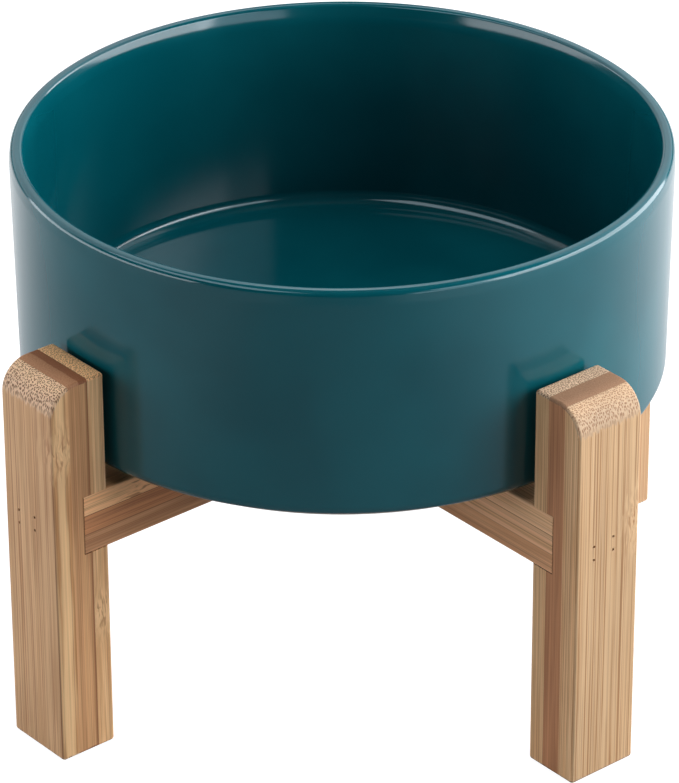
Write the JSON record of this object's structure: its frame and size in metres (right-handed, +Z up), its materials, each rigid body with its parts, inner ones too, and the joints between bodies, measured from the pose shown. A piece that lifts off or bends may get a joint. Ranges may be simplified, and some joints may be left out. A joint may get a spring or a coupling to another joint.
{
  "type": "dog bowl with stand",
  "caption": "Straight-sided glazed ceramic pet bowl that lifts out of a low laminated bamboo stand: round-topped legs on crossing half-lapped rails.",
  "frame": {"origin": "on the floor, at the centre of the stand, under the bowl's axis", "axes": "+Z up along the bowl's axis; X along the lower rail, from the front left leg to the back right leg; Y along the upper rail, from the front right leg to the back left leg"},
  "size_m": [0.26, 0.26, 0.1795],
  "materials": {
    "teal_glaze": "satin deep teal glaze",
    "pale_bamboo": "clear satin lacquer on pale carbonised bamboo",
    "caramel_bamboo": "clear satin lacquer on dark caramel bamboo",
    "nail_steel": "plain steel pin nail"
  },
  "bodies": {
    "lower_frame": {"lower_rail_top_strip": "pale_bamboo", "lower_rail_middle_strip": "caramel_bamboo", "lower_rail_bottom_strip": "caramel_bamboo", "back_right_leg_outer_strip": "pale_bamboo", "back_right_leg_core_strip": "caramel_bamboo", "back_right_leg_inner_strip": "pale_bamboo", "back_right_leg_nails": "nail_steel", "front_left_leg_outer_strip": "pale_bamboo", "front_left_leg_core_strip": "caramel_bamboo", "front_left_leg_inner_strip": "pale_bamboo", "front_left_leg_nails": "nail_steel"},
    "upper_frame": {"upper_rail_top_strip": "pale_bamboo", "upper_rail_middle_strip": "caramel_bamboo", "upper_rail_bottom_strip": "caramel_bamboo", "back_left_leg_outer_strip": "pale_bamboo", "back_left_leg_core_strip": "caramel_bamboo", "back_left_leg_inner_strip": "pale_bamboo", "back_left_leg_nails": "nail_steel", "front_right_leg_outer_strip": "pale_bamboo", "front_right_leg_core_strip": "caramel_bamboo", "front_right_leg_inner_strip": "pale_bamboo", "front_right_leg_nails": "nail_steel"},
    "bowl": {"bowl": "teal_glaze"}
  },
  "joints": [
    {"name": "frame_lift", "type": "slide", "parent": "lower_frame", "child": "upper_frame", "axis": [0, 0, 1], "range_m": [0, 0.15]},
    {"name": "bowl_lift", "type": "slide", "parent": "upper_frame", "child": "bowl", "axis": [0, 0, 1], "range_m": [0, 0.1]}
  ]
}
